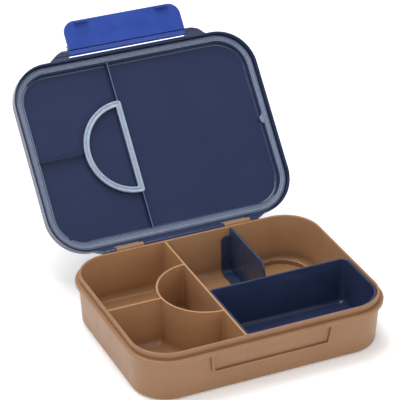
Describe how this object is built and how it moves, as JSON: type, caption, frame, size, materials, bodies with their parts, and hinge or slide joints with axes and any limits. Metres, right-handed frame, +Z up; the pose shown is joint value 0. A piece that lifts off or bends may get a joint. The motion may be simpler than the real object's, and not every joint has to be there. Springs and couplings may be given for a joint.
{
  "type": "bento lunch box",
  "caption": "Open bento lunch box: partitioned base tray, lift-out insert and divider, hinged sealed lid, wide swing latch.",
  "frame": {"origin": "centre of the base tray's flat underside", "axes": "+Z up, +Y towards the lid hinge at the back, +X to the right seen from the latch side; lid drawn open at its stop"},
  "size_m": [0.2148, 0.2932, 0.1841],
  "materials": {
    "base_plastic": "fine satin moulded polypropylene, caramel brown",
    "insert_plastic": "glossy dark navy moulding",
    "divider_plastic": "semi-gloss dark navy moulding",
    "lid_plastic": "semi-gloss navy moulding",
    "latch_plastic": "satin mid blue moulding",
    "seal_silicone": "translucent pale blue-grey silicone",
    "pin_steel": "drawn stainless rod"
  },
  "bodies": {
    "base": {"base_tray": "base_plastic", "hinge_pin_left": "pin_steel", "hinge_pin_right": "pin_steel"},
    "lid": {"lid": "lid_plastic", "latch_pin": "pin_steel"},
    "latch": {"latch": "latch_plastic"},
    "insert": {"insert_tray": "insert_plastic"},
    "divider": {"removable_divider": "divider_plastic"},
    "perimeter_seal": {"perimeter_seal": "seal_silicone"},
    "cup_seal": {"cup_seal": "seal_silicone"}
  },
  "joints": [
    {"name": "lid_hinge", "type": "hinge", "parent": "base", "child": "lid", "pos_m": [0, 0.0842, 0.0374], "axis": [-1, 0, 0], "range_deg": [-131.6, 0]},
    {"name": "latch_hinge", "type": "hinge", "parent": "lid", "child": "latch", "pos_m": [0, 0.19762, 0.16123], "axis": [-1, 0, 0], "range_deg": [-90, 0]},
    {"name": "insert_lift", "type": "slide", "parent": "base", "child": "insert", "axis": [0, 0, 1], "range_m": [0, 0.055]},
    {"name": "divider_lift", "type": "slide", "parent": "base", "child": "divider", "axis": [0, 0, 1], "range_m": [0, 0.055]},
    {"name": "perimeter_seal_pull", "type": "slide", "parent": "lid", "child": "perimeter_seal", "axis": [0, -0.7478, 0.6639], "range_m": [0, 0.01]},
    {"name": "cup_seal_pull", "type": "slide", "parent": "lid", "child": "cup_seal", "axis": [0, -0.7478, 0.6639], "range_m": [0, 0.01]}
  ]
}
